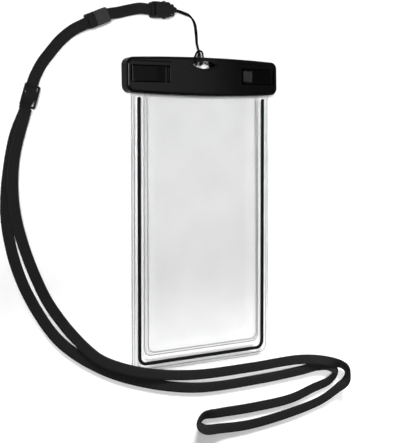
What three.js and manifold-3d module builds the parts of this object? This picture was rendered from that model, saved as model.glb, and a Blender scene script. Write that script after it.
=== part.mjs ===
// Waterproof phone pouch, lying on its back: a pocket of two clear films welded round three
// sides, a clamp bar with two locking levers across its mouth, and a neck lanyard.
// Millimetres. +X to the right, +Y towards the bar, +Z up through the front film.
// The origin is under the middle of the pouch, on the surface that it lies on.
import * as THREE from "three";
import { mergeVertices } from "three/addons/utils/BufferGeometryUtils.js";
import Module from "manifold-3d";

const wasm = await Module();
wasm.setup();

// Driving dimensions
const CLEARANCE = 0.3; // between pieces that touch
const POUCH_LENGTH = 203;

const BAR_HALF_WIDTH = 56.8;
const BAR_MIDDLE_HEIGHT = 24.8;
const BAR_END_HEIGHT = 21.6;
const BAR_CORNER = 4.6;
const BAR_THICKNESS = 9.5;
const BAR_FRONT_EDGE = 1.6; // rounding of the front face's rim
const BAR_BACK_EDGE = 0.9;
const BAR_EDGE_STEPS = 5;
const SEAM_HEIGHT = 4.6; // parting plane of the two shells, above the back

const FILM = 0.5;
const FILM_HALF_WIDTH_MOUTH = 52.4;
const FILM_WIDENING = 0.9; // half width gained from the mouth to the bottom
const FILM_CORNER = 4.7;
const FILM_IN_BAR = 11.2; // how far the mouth reaches past the bar's lower edge
const WELD_WIDTH = 8.6; // flat margin outside the pocket
const POCKET_SLOPE = 7; // width of the pocket's sloping side
const POCKET_TOP = 7.6; // height of the front film over the pocket
const MOUTH_SLOPE = 22; // length over which the pocket closes towards the bar

const STRIP_WIDTH = 2.2;
const STRIP_THICKNESS = 0.7;
const STRIP_INSET = 5.3; // film's edge to the strip's middle
const STRIP_CORNER = 4.6;
const STRIP_TOP_GAP = 1.6; // bar's lower edge to the strip's ends

const PAD_LENGTH = 98;
const PAD_HEIGHT = 8;
const PAD_THICKNESS = 0.9;
const PAD_RIBS = 3;

const EYE_X = -0.8;
const EYE_HALF_LENGTH = 8.9;
const EYE_HALF_HEIGHT = 2.45;
const EYE_BELOW_TOP = 4.9; // bar's top edge to the eye's middle
const EYE_RIM = 1.5; // width of the recess round the eye
const EYE_RECESS_DEPTH = 0.6;
const CORD_GROOVE_WIDTH = 10;
const CORD_GROOVE_DEPTH = 1.9;

const LEVER_LENGTH = 22.6; // hinge axis to free end
const LEVER_WIDTH = 10;
const LEVER_THICKNESS = 1.7;
const LEVER_ABOVE_MIDDLE = 0.8; // lever's middle above the bar's middle
const LEVER_AXIS_INSET = 4.4; // bar's end to the hinge axis
const LEVER_AXIS_DEPTH = 1.65; // front face to the hinge axis
const LEVER_SINK = 0.1; // lever's face below the bar's
const LEVER_CORNER = 0.9;
const BARREL_RADIUS = 1.55;
const TRUNNION_RADIUS = 0.8;
const TRUNNION_LENGTH = 1.2;
const FINGER_GAP = 3.2; // recess left open past the lever's free end
const END_WALL_GAP = 2.2; // hinge axis to the recess's outer wall
const THUMB_LENGTH = 6.5;
const THUMB_WIDTH = 7.4;
const THUMB_DEPTH = 0.9;
const CLAW_WIDTH = 3;
const CLAW_ABOVE_MIDDLE = 2.8; // claw's middle above the lever's middle
const CLAW_REACH = 4.85; // hinge axis to the claw's tip
const CLAW_SHANK = 1.5;
const CLAW_TOE = 0.8;
const CLAW_TOE_HEIGHT = 0.6;
const CLAW_LIP = 0.65;

const PANEL_LINE_WIDTH = 0.5; // shallow groove over each lever
const PANEL_LINE_DEPTH = 0.25;
const PANEL_LINE_ABOVE_LEVER = 2.6;
const PANEL_LINE_OVERHANG = 1.6; // past the lever's free end

const POST_RADIUS = 1.1;
const POST_HEIGHT = 1.7; // above the parting plane
const POST_BELOW_TOP = 4.3;
const POST_PLACES = [-40, -22, 22, 40];

const STRAP_WIDTH = 7;
const STRAP_THICKNESS = 1.2;
const CORD_DIAMETER = 1.2;

const BUCKLE_X = -18.6; // tip of the buckle, where the hitch cord leaves it
const BUCKLE_Y = 131.1;
const BUCKLE_TURN = 1.5; // degrees
const BUCKLE_THICKNESS = 5;
const BUCKLE_SOCKET_LENGTH = 11.3;
const BUCKLE_SOCKET_WIDTH = 9.6;
const BUCKLE_TIP_WIDTH = 3;
const BUCKLE_NECK_WIDTH = 5.6; // where the taper ends
const BUCKLE_TAPER_LENGTH = 2;
const BUCKLE_MOUTH_DEPTH = 5.4;
const BUCKLE_EAR_X = -2.4; // tip to the ears' middle
const BUCKLE_EAR_Y = 2.6;
const BUCKLE_EAR_RADIUS = 1.3;
const BUCKLE_EAR_HOLE = 0.75;
const BUCKLE_EAR_THICKNESS = 1.6;
const BUCKLE_WALL = 1.1;
const BUCKLE_WINDOW = [0.9, 4.6]; // start and end of the side window, from the socket's mouth
const BUCKLE_BASE_LENGTH = 6.2;
const BUCKLE_BASE_WIDTH = 9.8;
const BUCKLE_SLOT = 1.9; // strap slot, along the buckle
const BUCKLE_BULGE_WIDTH = 11.2; // across the two prongs' buttons

const CLASP_X = -73.4;
const CLASP_Y = 123.1;
const CLASP_TURN = 22.5;
const CLASP_LENGTH = 14.2;
const CLASP_WIDTH = 9.2;
const CLASP_THICKNESS = 5;
const CLASP_CAP_LENGTH = 5;
const CLASP_WALL = 1;
const CLASP_TONGUE_LENGTH = 4;
const CLASP_BEVEL = 0.7; // along the long top edges
const CLASP_LINE_WIDTH = 0.5; // outline of the snap tongue on the body
const CLASP_LINE_DEPTH = 0.35;

const SLIDER_X = -118.1;
const SLIDER_Y = 75.1;
const SLIDER_TURN = 72; // degrees of the slider's length from +X
const SLIDER_LENGTH = 14;
const SLIDER_WIDTH = 9.6;
const SLIDER_THICKNESS = 1.5;
const SLIDER_RAIL = 1;
const SLIDER_END_BAR = 1.2;
const SLIDER_MIDDLE_BAR = 1.8;
const SLIDER_LIFT = 1.8; // the strap passes under the end bars and over the middle one

// Places that follow from them
const BAR_TOP = POUCH_LENGTH / 2;
const BAR_Y = BAR_TOP - BAR_MIDDLE_HEIGHT / 2;
const BAR_BOTTOM = BAR_TOP - BAR_MIDDLE_HEIGHT;
const FILM_BOTTOM = -POUCH_LENGTH / 2;
const FILM_HALF_WIDTH_BOTTOM = FILM_HALF_WIDTH_MOUTH + FILM_WIDENING;
const FILM_TOP = BAR_BOTTOM + FILM_IN_BAR;
const FILM_EXIT = BAR_BOTTOM - 2 * CLEARANCE;
const REAR_FILM_AT_MOUTH = SEAM_HEIGHT - CLEARANCE / 2 - FILM;
const FRONT_FILM_AT_MOUTH = SEAM_HEIGHT + CLEARANCE / 2;
const REAR_LIP = REAR_FILM_AT_MOUTH - CLEARANCE;
const FRONT_LIP = FRONT_FILM_AT_MOUTH + FILM + CLEARANCE;
const PAD_Y = BAR_BOTTOM + 2 + PAD_HEIGHT / 2;
const EYE_Y = BAR_TOP - EYE_BELOW_TOP;
const LEVER_Y = BAR_Y + LEVER_ABOVE_MIDDLE;
const LEVER_AXIS_X = BAR_HALF_WIDTH - LEVER_AXIS_INSET;
const LEVER_AXIS_Z = BAR_THICKNESS - LEVER_AXIS_DEPTH;
const CLAW_Y = LEVER_Y + CLAW_ABOVE_MIDDLE;

const group = new THREE.Group();

const colours = {
  clear: { color: 0xe8ecee, roughness: 0.12, metalness: 0, transparent: true, opacity: 0.3 },
  gloss: { color: 0x131314, roughness: 0.22, metalness: 0 },
  strip: { color: 0x0c0c0d, roughness: 0.5, metalness: 0 },
  rubber: { color: 0x55585b, roughness: 0.8, metalness: 0 },
  matte: { color: 0x161617, roughness: 0.45, metalness: 0 },
  greyish: { color: 0x2b2c2f, roughness: 0.5, metalness: 0 },
  cloth: { color: 0x101011, roughness: 0.9, metalness: 0 },
};

function addMesh(name, geometry, colour, parent = group) {
  const mesh = new THREE.Mesh(geometry, new THREE.MeshStandardMaterial(colours[colour]));
  mesh.name = name;
  parent.add(mesh);
  return mesh;
}

// Solids
function toSolid(geometry) {
  const bare = geometry.clone();
  for (const name of ["normal", "uv"]) {
    bare.deleteAttribute(name);
  }
  const merged = mergeVertices(bare, 1e-4);
  const mesh = new wasm.Mesh({
    numProp: 3,
    vertProperties: Float32Array.from(merged.attributes.position.array),
    triVerts: Uint32Array.from(merged.index.array),
  });
  return new wasm.Manifold(mesh);
}

function toGeometry(solid) {
  const mesh = solid.getMesh();
  const geometry = new THREE.BufferGeometry();
  geometry.setAttribute("position", new THREE.BufferAttribute(mesh.vertProperties, 3));
  geometry.setIndex(new THREE.BufferAttribute(mesh.triVerts, 1));
  geometry.computeVertexNormals();
  return geometry;
}

function block([x0, x1], [y0, y1], [z0, z1]) {
  const geometry = new THREE.BoxGeometry(x1 - x0, y1 - y0, z1 - z0);
  return toSolid(geometry.translate((x0 + x1) / 2, (y0 + y1) / 2, (z0 + z1) / 2));
}

function prism(shape, z0, z1) {
  const geometry = new THREE.ExtrudeGeometry(shape, { depth: z1 - z0, bevelEnabled: false, curveSegments: 10 });
  return toSolid(geometry.translate(0, 0, z0));
}

// A rod along Y, from y0 to y1
function rodAlongY(x, z, radius, y0, y1, sides = 20) {
  const geometry = new THREE.CylinderGeometry(radius, radius, y1 - y0, sides);
  return toSolid(geometry.translate(x, (y0 + y1) / 2, z));
}

function rodAlongZ(x, y, radius, z0, z1, sides = 16) {
  const geometry = new THREE.CylinderGeometry(radius, radius, z1 - z0, sides);
  return toSolid(geometry.rotateX(Math.PI / 2).translate(x, y, (z0 + z1) / 2));
}

// Stacks the outline(inset) of each level and closes it with two flat caps
function loft(outline, levels) {
  const rings = levels.map(({ z, inset }) => outline(inset).map((p) => new THREE.Vector3(p.x, p.y, z)));
  const count = rings[0].length;
  const positions = rings.flat().flatMap((p) => [p.x, p.y, p.z]);
  const index = [];
  for (let level = 0; level < rings.length - 1; level++) {
    for (let i = 0; i < count; i++) {
      const a = level * count + i;
      const b = level * count + ((i + 1) % count);
      index.push(a, b, b + count, a, b + count, a + count);
    }
  }
  const flat = rings[0].map((p) => new THREE.Vector2(p.x, p.y));
  const top = (rings.length - 1) * count;
  for (const [a, b, c] of THREE.ShapeUtils.triangulateShape(flat, [])) {
    index.push(a, c, b, top + a, top + b, top + c);
  }
  const geometry = new THREE.BufferGeometry();
  geometry.setAttribute("position", new THREE.Float32BufferAttribute(positions, 3));
  geometry.setIndex(index);
  geometry.computeVertexNormals();
  return geometry;
}

function roundedRectangle(halfLength, halfWidth, radius, cx = 0, cy = 0, segments = 4) {
  const points = [];
  const corners = [[1, 1], [-1, 1], [-1, -1], [1, -1]];
  corners.forEach(([sx, sy], quarter) => {
    for (let i = 0; i <= segments; i++) {
      const angle = (quarter + i / segments) * (Math.PI / 2);
      const x = cx + sx * (halfLength - radius) + radius * Math.cos(angle);
      const y = cy + sy * (halfWidth - radius) + radius * Math.sin(angle);
      points.push(new THREE.Vector2(x, y));
    }
  });
  return points;
}

// Clamp bar: barrel-shaped outline, taller in the middle than at its ends
function barOutline(inset) {
  const halfWidth = BAR_HALF_WIDTH - inset;
  const middle = BAR_MIDDLE_HEIGHT / 2 - inset;
  const end = BAR_END_HEIGHT / 2 - inset;
  const radius = Math.max(BAR_CORNER - inset, 0.5);
  const flat = halfWidth - radius;
  const edge = (x) => middle - (middle - end) * (x / halfWidth) ** 2;
  const cornerY = edge(flat) - radius;
  const corner = [];
  for (let i = 0; i < 8; i++) {
    const angle = (i / 8) * (Math.PI / 2);
    corner.push(new THREE.Vector2(flat + radius * Math.cos(angle), cornerY + radius * Math.sin(angle)));
  }
  const half = [...corner];
  for (let i = 0; i <= 18; i++) {
    const x = flat * (1 - i / 9);
    half.push(new THREE.Vector2(x, edge(x)));
  }
  half.push(...corner.reverse().map((p) => new THREE.Vector2(-p.x, p.y)));
  const upper = half.map((p) => new THREE.Vector2(p.x, BAR_Y + p.y));
  const lower = half.map((p) => new THREE.Vector2(-p.x, BAR_Y - p.y));
  return [...upper, ...lower];
}

function eyeShape(rim = 0) {
  const shape = new THREE.Shape();
  const halfLength = EYE_HALF_LENGTH + rim;
  const bulge = 2 * (EYE_HALF_HEIGHT + rim);
  shape.moveTo(EYE_X - halfLength, EYE_Y);
  shape.quadraticCurveTo(EYE_X, EYE_Y - bulge, EYE_X + halfLength, EYE_Y);
  shape.quadraticCurveTo(EYE_X, EYE_Y + bulge, EYE_X - halfLength, EYE_Y);
  return shape;
}

// The eye, and the shallow recess round it and up to the bar's top edge
function eyeCut() {
  const floor = BAR_THICKNESS - EYE_RECESS_DEPTH;
  const over = BAR_THICKNESS + 1;
  const half = EYE_HALF_LENGTH - EYE_RIM;
  const gully = block([EYE_X - half, EYE_X + half], [EYE_Y, BAR_TOP + 1], [floor, over]);
  return prism(eyeShape(), 0, over).add(prism(eyeShape(EYE_RIM), floor, over)).add(gully);
}

function panelLine(side) {
  const freeEnd = LEVER_AXIS_X - LEVER_LENGTH - FINGER_GAP - PANEL_LINE_OVERHANG;
  const xs = side > 0 ? [freeEnd, LEVER_AXIS_X] : [-LEVER_AXIS_X, -freeEnd];
  const y = LEVER_Y + LEVER_WIDTH / 2 + PANEL_LINE_ABOVE_LEVER;
  return block(xs, [y, y + PANEL_LINE_WIDTH], [BAR_THICKNESS - PANEL_LINE_DEPTH, BAR_THICKNESS + 1]);
}

function filmRelief(z0, z1) {
  const half = FILM_HALF_WIDTH_MOUTH + 2 * CLEARANCE;
  return block([-half, half], [BAR_BOTTOM - 5, FILM_TOP + CLEARANCE], [z0, z1]);
}

function padChannel(z0, z1) {
  const half = PAD_LENGTH / 2 + CLEARANCE;
  const halfHeight = PAD_HEIGHT / 2 + CLEARANCE;
  return block([-half, half], [PAD_Y - halfHeight, PAD_Y + halfHeight], [z0, z1]);
}

// The slot that a claw swings through: a box as deep as the claw's sweep
function clawSlot(side, z0, z1) {
  const sweep = Math.hypot(CLAW_REACH, CLAW_SHANK / 2 + CLAW_TOE) + CLEARANCE;
  const inner = LEVER_AXIS_X - sweep;
  const outer = LEVER_AXIS_X + END_WALL_GAP;
  const halfWidth = CLAW_WIDTH / 2 + CLEARANCE;
  const xs = side > 0 ? [inner, outer] : [-outer, -inner];
  return block(xs, [CLAW_Y - halfWidth, CLAW_Y + halfWidth], [z0, z1]);
}

function leverRecess(side) {
  const freeEnd = LEVER_AXIS_X - LEVER_LENGTH - FINGER_GAP;
  const outer = LEVER_AXIS_X + END_WALL_GAP;
  const halfWidth = LEVER_WIDTH / 2 + CLEARANCE;
  const centre = (side * (freeEnd + outer)) / 2;
  const floor = BAR_THICKNESS - LEVER_SINK - LEVER_THICKNESS - CLEARANCE;
  const outline = roundedRectangle((outer - freeEnd) / 2, halfWidth, LEVER_CORNER, centre, LEVER_Y, 3);
  const plate = prism(new THREE.Shape(outline), floor, BAR_THICKNESS + 1);
  const x = side * LEVER_AXIS_X;
  const radius = BARREL_RADIUS + CLEARANCE;
  const barrel = rodAlongY(x, LEVER_AXIS_Z, radius, LEVER_Y - halfWidth, LEVER_Y + halfWidth);
  const reach = halfWidth + TRUNNION_LENGTH;
  const trunnion = rodAlongY(x, LEVER_AXIS_Z, TRUNNION_RADIUS + CLEARANCE, LEVER_Y - reach, LEVER_Y + reach);
  return plate.add(barrel).add(trunnion);
}

function frontShell() {
  const base = SEAM_HEIGHT + CLEARANCE / 2;
  const levels = [{ z: base, inset: 0 }];
  for (let i = 0; i <= BAR_EDGE_STEPS; i++) {
    const angle = (i / BAR_EDGE_STEPS) * (Math.PI / 2);
    const fall = BAR_FRONT_EDGE * (1 - Math.sin(angle));
    levels.push({ z: BAR_THICKNESS - fall, inset: BAR_FRONT_EDGE * (1 - Math.cos(angle)) });
  }
  let shell = toSolid(loft(barOutline, levels));
  shell = shell.subtract(eyeCut());
  shell = shell.subtract(filmRelief(base - 1, FRONT_LIP));
  shell = shell.subtract(padChannel(base - 1, FRONT_LIP + PAD_THICKNESS + CLEARANCE));
  for (const side of [-1, 1]) {
    shell = shell.subtract(leverRecess(side));
    shell = shell.subtract(panelLine(side));
    shell = shell.subtract(clawSlot(side, base - 1, LEVER_AXIS_Z));
  }
  for (const x of POST_PLACES) {
    const top = SEAM_HEIGHT + POST_HEIGHT + CLEARANCE;
    shell = shell.subtract(rodAlongZ(x, BAR_TOP - POST_BELOW_TOP, POST_RADIUS + CLEARANCE, base - 1, top));
  }
  return toGeometry(shell);
}

function rearShell() {
  const top = SEAM_HEIGHT - CLEARANCE / 2;
  const levels = [
    { z: 0, inset: BAR_BACK_EDGE },
    { z: 0.3 * BAR_BACK_EDGE, inset: 0.3 * BAR_BACK_EDGE },
    { z: BAR_BACK_EDGE, inset: 0 },
    { z: top, inset: 0 },
  ];
  let shell = toSolid(loft(barOutline, levels));
  shell = shell.subtract(prism(eyeShape(), -1, top + 1));
  shell = shell.subtract(filmRelief(REAR_LIP, top + 1));
  shell = shell.subtract(padChannel(REAR_LIP - PAD_THICKNESS - CLEARANCE, top + 1));
  const groove = [EYE_X - CORD_GROOVE_WIDTH / 2, EYE_X + CORD_GROOVE_WIDTH / 2];
  shell = shell.subtract(block(groove, [EYE_Y, BAR_TOP + 1], [-1, CORD_GROOVE_DEPTH]));
  const tip = LEVER_AXIS_Z - Math.hypot(CLAW_REACH, CLAW_SHANK / 2 + CLAW_TOE);
  for (const side of [-1, 1]) {
    shell = shell.subtract(clawSlot(side, tip - CLEARANCE, top + 1));
    shell = shell.add(clawLip(side, top));
  }
  for (const x of POST_PLACES) {
    const y = BAR_TOP - POST_BELOW_TOP;
    shell = shell.add(rodAlongZ(x, y, POST_RADIUS, top - 1, SEAM_HEIGHT + POST_HEIGHT));
  }
  return toGeometry(shell);
}

// The lip that the claw's toe hooks under
function clawLip(side, top) {
  const inner = LEVER_AXIS_X + CLAW_SHANK / 2 + CLEARANCE;
  const outer = LEVER_AXIS_X + END_WALL_GAP + 0.4;
  const halfWidth = CLAW_WIDTH / 2 + CLEARANCE + 0.2;
  const xs = side > 0 ? [inner, outer] : [-outer, -inner];
  return block(xs, [CLAW_Y - halfWidth, CLAW_Y + halfWidth], [top - CLAW_LIP, top]);
}

// Modelled for the right-hand end, about the hinge axis, and mirrored for the left
function lever(side) {
  const face = LEVER_AXIS_DEPTH - LEVER_SINK;
  const outline = (inset) =>
    roundedRectangle(LEVER_LENGTH / 2 - inset, LEVER_WIDTH / 2 - inset, LEVER_CORNER - inset, -LEVER_LENGTH / 2, 0);
  const plate = toSolid(
    loft(outline, [
      { z: face - LEVER_THICKNESS, inset: 0 },
      { z: face - 0.3, inset: 0 },
      { z: face, inset: 0.3 },
    ]),
  );
  let solid = plate.add(rodAlongY(0, 0, BARREL_RADIUS, -LEVER_WIDTH / 2, LEVER_WIDTH / 2));
  const reach = LEVER_WIDTH / 2 + TRUNNION_LENGTH;
  solid = solid.add(rodAlongY(0, 0, TRUNNION_RADIUS, -reach, reach));
  const clawY = [CLAW_ABOVE_MIDDLE - CLAW_WIDTH / 2, CLAW_ABOVE_MIDDLE + CLAW_WIDTH / 2];
  solid = solid.add(block([-CLAW_SHANK / 2, CLAW_SHANK / 2], clawY, [-CLAW_REACH, 0]));
  const toe = [0, CLAW_SHANK / 2 + CLAW_TOE];
  solid = solid.add(block(toe, clawY, [-CLAW_REACH, -CLAW_REACH + CLAW_TOE_HEIGHT]));
  const slope = Math.atan2(THUMB_DEPTH, THUMB_LENGTH);
  const thumb = new THREE.BoxGeometry(2 * THUMB_LENGTH, THUMB_WIDTH, 2);
  thumb.translate(-THUMB_LENGTH, 0, 1);
  thumb.rotateY(-slope);
  thumb.translate(-LEVER_LENGTH + THUMB_LENGTH, 0, face);
  solid = solid.subtract(toSolid(thumb));
  const placed = side > 0 ? solid : solid.mirror([1, 0, 0]);
  return toGeometry(placed);
}

// Seal pad: a strip with ribs along the side that presses the films
function sealPad(height, direction) {
  const pitch = PAD_HEIGHT / PAD_RIBS;
  const shape = new THREE.Shape();
  shape.moveTo(-PAD_HEIGHT / 2, 0);
  shape.lineTo(PAD_HEIGHT / 2, 0);
  for (let rib = 0; rib < PAD_RIBS; rib++) {
    const start = PAD_HEIGHT / 2 - rib * pitch;
    shape.lineTo(start, PAD_THICKNESS * 0.6);
    shape.lineTo(start - 0.3 * pitch, PAD_THICKNESS);
    shape.lineTo(start - 0.7 * pitch, PAD_THICKNESS);
    shape.lineTo(start - pitch, PAD_THICKNESS * 0.6);
  }
  const geometry = new THREE.ExtrudeGeometry(shape, { depth: PAD_LENGTH, bevelEnabled: false });
  geometry.translate(0, 0, -PAD_LENGTH / 2);
  geometry.rotateX(Math.PI / 2);
  geometry.rotateZ(Math.PI / 2);
  if (direction < 0) geometry.rotateX(Math.PI);
  return geometry.translate(0, PAD_Y, height);
}

// Film surfaces
const smooth = (t) => THREE.MathUtils.smoothstep(t, 0, 1);

function filmHalfWidth(y) {
  const t = (FILM_TOP - y) / (FILM_TOP - FILM_BOTTOM);
  return THREE.MathUtils.lerp(FILM_HALF_WIDTH_MOUTH, FILM_HALF_WIDTH_BOTTOM, t);
}

// Height of the welded margin's underside: it falls from the bar's seam to the surface
function marginHeight(y) {
  return REAR_FILM_AT_MOUTH * Math.min((y - FILM_BOTTOM) / (FILM_EXIT - FILM_BOTTOM), 1);
}

// How far a place is inside the pocket, from 0 on the weld to 1
function pocketShare(x, y) {
  const fromSide = filmHalfWidth(y) - Math.abs(x) - WELD_WIDTH;
  const fromBottom = y - FILM_BOTTOM - WELD_WIDTH - 1.6;
  const fromMouth = FILM_EXIT - y;
  return smooth(fromSide / POCKET_SLOPE) * smooth(fromBottom / POCKET_SLOPE) * smooth(fromMouth / MOUTH_SLOPE);
}

const rearUnderside = (x, y) => marginHeight(y) * (1 - pocketShare(x, y));

function frontUnderside(x, y) {
  const welded = marginHeight(y) + FILM + CLEARANCE;
  return THREE.MathUtils.lerp(welded, POCKET_TOP - FILM, pocketShare(x, y));
}

function filmSheet(underside) {
  const slopeStops = [0, 0.2, 0.4, 0.6, 0.8, 1].map((t) => WELD_WIDTH + t * POCKET_SLOPE);
  const insets = [0, ...slopeStops, 30];
  const middle = FILM_HALF_WIDTH_MOUTH;
  const shares = insets.map((inset) => 1 - inset / middle);
  const columns = [...shares.map((s) => -s), 0, ...shares.reverse()];
  const cornerRows = [0, 0.1, 0.35, 0.65, 1].map((t) => t * FILM_CORNER);
  const bottomRows = slopeStops.map((stop) => stop + 1.6);
  const lengthwise = [...cornerRows, ...bottomRows, 60, 110].map((d) => FILM_BOTTOM + d);
  const mouthRows = [1, 0.85, 0.7, 0.55, 0.4, 0.25, 0.1, 0].map((t) => FILM_EXIT - t * MOUTH_SLOPE);
  const rows = [...lengthwise, ...mouthRows, FILM_TOP];
  const outlineHalf = (y) => {
    const up = Math.min(y - FILM_BOTTOM, FILM_CORNER);
    const cut = FILM_CORNER - Math.sqrt(FILM_CORNER ** 2 - (FILM_CORNER - up) ** 2);
    return filmHalfWidth(y) - cut;
  };
  const across = columns.length;
  const positions = [];
  for (const lift of [0, FILM]) {
    for (const y of rows) {
      for (const share of columns) {
        const x = share * outlineHalf(y);
        positions.push(x, y, underside(x, y) + lift);
      }
    }
  }
  const layer = rows.length * across;
  const at = (row, column, top) => top * layer + row * across + column;
  const index = [];
  const quad = (a, b, c, d) => index.push(a, b, c, a, c, d);
  for (let row = 0; row < rows.length - 1; row++) {
    for (let column = 0; column < across - 1; column++) {
      const corners = [[row, column], [row, column + 1], [row + 1, column + 1], [row + 1, column]];
      const [a, b, c, d] = corners.map(([r, k]) => at(r, k, 1));
      quad(a, b, c, d);
      const [e, f, g, h] = corners.map(([r, k]) => at(r, k, 0));
      quad(e, h, g, f);
    }
    quad(at(row, 0, 0), at(row, 0, 1), at(row + 1, 0, 1), at(row + 1, 0, 0));
    const last = across - 1;
    quad(at(row, last, 0), at(row + 1, last, 0), at(row + 1, last, 1), at(row, last, 1));
  }
  const end = rows.length - 1;
  for (let column = 0; column < across - 1; column++) {
    quad(at(0, column, 0), at(0, column + 1, 0), at(0, column + 1, 1), at(0, column, 1));
    quad(at(end, column, 0), at(end, column, 1), at(end, column + 1, 1), at(end, column + 1, 0));
  }
  const geometry = new THREE.BufferGeometry();
  geometry.setAttribute("position", new THREE.Float32BufferAttribute(positions, 3));
  geometry.setIndex(index);
  geometry.computeVertexNormals();
  return geometry;
}

// Border strip: a flat U on the front film's welded margin
function borderStrip() {
  const top = FILM_EXIT - STRIP_TOP_GAP;
  const side = (y) => filmHalfWidth(y) - STRIP_INSET;
  const low = FILM_BOTTOM + STRIP_INSET;
  const halfStrip = STRIP_WIDTH / 2;
  const path = (offset) => {
    const radius = STRIP_CORNER + offset;
    const cornerY = low + STRIP_CORNER;
    const cornerX = side(cornerY) - STRIP_CORNER;
    const right = [new THREE.Vector2(side(top) + offset, top)];
    for (let i = 0; i <= 6; i++) {
      const angle = (-i / 6) * (Math.PI / 2);
      right.push(new THREE.Vector2(cornerX + radius * Math.cos(angle), cornerY + radius * Math.sin(angle)));
    }
    const left = right.map((p) => new THREE.Vector2(-p.x, p.y)).reverse();
    return [...right, ...left];
  };
  const cap = (centreX, sign) => {
    const points = [];
    for (let i = 1; i < 5; i++) {
      const angle = (i / 5) * Math.PI;
      points.push(new THREE.Vector2(centreX + sign * halfStrip * Math.cos(angle), top + halfStrip * Math.sin(angle)));
    }
    return points;
  };
  const outline = [
    ...path(halfStrip),
    ...cap(-side(top), -1),
    ...path(-halfStrip).reverse(),
    ...cap(side(top), -1),
  ];
  const geometry = new THREE.ExtrudeGeometry(new THREE.Shape(outline), { depth: STRIP_THICKNESS, bevelEnabled: false });
  const position = geometry.attributes.position;
  const lift = 2 * FILM + 2 * CLEARANCE;
  for (let i = 0; i < position.count; i++) {
    position.setZ(i, position.getZ(i) + marginHeight(position.getY(i)) + lift);
  }
  geometry.computeVertexNormals();
  return geometry;
}

// Lanyard. Each point is [x, y, z] and, for webbing, its roll in degrees: 0 lies flat, 90 stands on edge.
class LanyardRoute extends THREE.CatmullRomCurve3 {
  constructor(points) {
    super(points.map(([x, y, z]) => new THREE.Vector3(x, y, z)), false, "centripetal");
    this.rolls = points.map((p) => THREE.MathUtils.degToRad(p[3] ?? 0));
  }

  getSpacedPoints(divisions) {
    return this.getPoints(divisions);
  }

  computeFrenetFrames(segments) {
    const tangents = [];
    const normals = [];
    const binormals = [];
    const up = new THREE.Vector3(0, 0, 1);
    for (let i = 0; i <= segments; i++) {
      const along = (i / segments) * (this.rolls.length - 1);
      const before = Math.min(Math.floor(along), this.rolls.length - 2);
      const roll = THREE.MathUtils.lerp(this.rolls[before], this.rolls[before + 1], along - before);
      const tangent = this.getTangent(i / segments);
      const side = new THREE.Vector3().crossVectors(up, tangent).normalize();
      const normal = side.applyAxisAngle(tangent, roll);
      tangents.push(tangent);
      normals.push(normal);
      binormals.push(new THREE.Vector3().crossVectors(tangent, normal));
    }
    return { tangents, normals, binormals };
  }
}

function webbing(points, stepsPerPoint = 2) {
  const w = STRAP_WIDTH / 2;
  const t = STRAP_THICKNESS / 2;
  const c = t * 0.6;
  const section = [[w, t - c], [w - c, t], [c - w, t], [-w, t - c], [-w, c - t], [c - w, -t], [w - c, -t], [w, c - t]];
  const shape = new THREE.Shape(section.map(([x, y]) => new THREE.Vector2(x, y)));
  const steps = (points.length - 1) * stepsPerPoint;
  return new THREE.ExtrudeGeometry(shape, { steps, bevelEnabled: false, extrudePath: new LanyardRoute(points) });
}

const NECK_ROUTE = [
  [-120.5, 67.8, 0.7, 0],
  [-128.2, 49.4, 0.7, 0],
  [-134.0, 15.7, 0.7, 0],
  [-134.0, 0.0, 0.7, 0],
  [-130.1, -22.0, 0.7, 0],
  [-121.3, -45.3, 0.7, 0],
  [-102.7, -74.2, 0.7, 0],
  [-77.1, -94.0, 0.7, 0],
  [-47.4, -107.4, 0.7, 0],
  [-5.5, -117.7, 0.7, 0],
  [46.9, -119.2, 0.7, 0],
  [82.3, -118.0, 0.8, 0],
  [98.2, -116.7, 1.0, -4],
  [108.6, -118.2, 1.4, -12],
  [113.7, -123.0, 1.9, -20],
  [109.0, -128.4, 1.4, -12],
  [93.4, -132.5, 0.9, -3],
  [73.9, -137.2, 0.7, 0],
  [38.3, -138.5, 0.7, 0],
  [11.9, -137.8, 1.1, -8],
  [-0.9, -137.7, 2.2, -26],
  [-4.8, -142.3, 2.9, -37],
  [0.0, -146.9, 2.2, -26],
  [13.0, -148.8, 1.1, -8],
  [38.1, -150.3, 0.7, 0],
  [73.7, -147.4, 0.7, 0],
  [101.5, -142.3, 0.9, 2],
  [117.4, -134.9, 1.6, 16],
  [126.3, -127.0, 3.2, 52],
  [121.4, -119.6, 2.8, 24],
  [104.1, -113.4, 2.6, 6],
  [82.0, -109.7, 1.6, 2],
  [38.5, -109.9, 0.7, 0],
  [-8.9, -108.5, 0.9, 0],
  [-48.1, -101.0, 2.6, 0],
  [-74.8, -90.0, 2.2, 0],
  [-85.9, -80.6, 2.0, 0],
  [-93.8, -71.8, 1.6, 0],
  [-100.9, -62.6, 1.0, 0],
  [-111.0, -46.6, 0.7, 0],
  [-123.9, -14.7, 1.1, 0],
  [-129.8, 10.8, 2.2, 0],
  [-129.0, 37.4, 2.2, 0],
  [-120.5, 67.8, 2.2, 0],
];

// Through the slider: the distance along it from its middle, and the height
const SLIDER_WEAVE = [
  [7.2, 0.85],
  [5.6, 0.9],
  [4.6, 1.45],
  [3.35, 2.55],
  [2.1, 3.65],
  [1.1, 4.25],
  [0, 4.4],
  [-1.1, 4.25],
  [-2.1, 3.65],
  [-3.35, 2.55],
  [-4.6, 1.45],
  [-5.6, 0.9],
  [-6.8, 0.85],
];

function sliderWeave() {
  const turn = THREE.MathUtils.degToRad(SLIDER_TURN);
  return SLIDER_WEAVE.map(([along, z]) => [
    SLIDER_X + along * Math.cos(turn),
    SLIDER_Y + along * Math.sin(turn),
    z,
    0,
  ]);
}

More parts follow.
